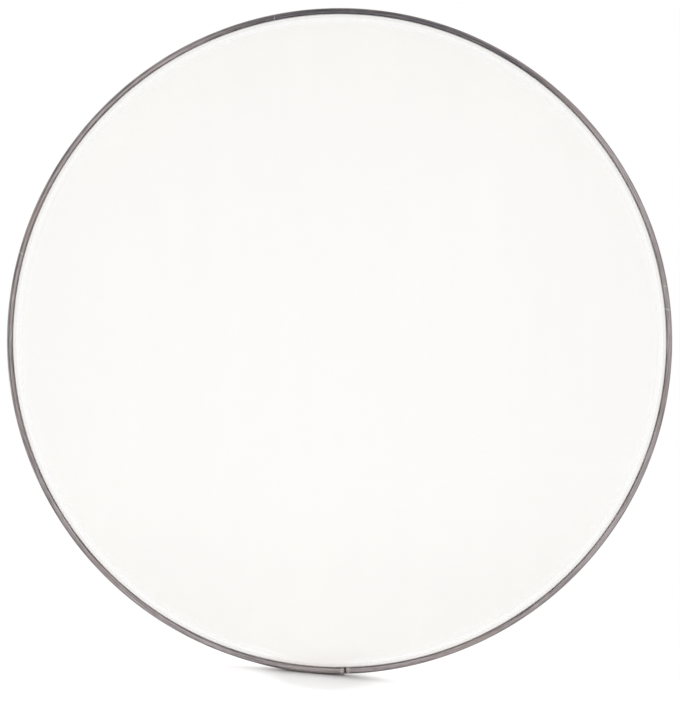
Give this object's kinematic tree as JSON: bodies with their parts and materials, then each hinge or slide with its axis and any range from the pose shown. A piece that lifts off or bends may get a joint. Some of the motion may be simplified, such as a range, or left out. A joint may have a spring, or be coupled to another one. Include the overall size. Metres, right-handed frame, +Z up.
{
  "type": "drum head",
  "caption": "Round drum head: a formed plastic film hemmed round a steel wire and locked in a rolled aluminium hoop, to be stretched over the edge of a drum shell.",
  "frame": {"origin": "on the head's axis, on the drum side of the flat film, where it sits on the edge of the shell", "axes": "+Y along the head's axis, from the playing face towards the drum; -Y is the playing side; +Z up as the head stands on a bass drum, with the hoop's seam at the bottom; +X to the right as the playing face is looked at"},
  "size_m": [0.574, 0.0198, 0.574],
  "materials": {
    "film": "smooth translucent white polyester film, glossy",
    "hoop": "mill finish with fine rolling lines along the hoop",
    "wire": "drawn steel wire",
    "glue": "cured amber glue"
  },
  "bodies": {
    "root": {"drum_film": "film", "hoop_channel": "hoop", "lock_wire": "wire", "glue_bead": "glue"}
  },
  "joints": []
}
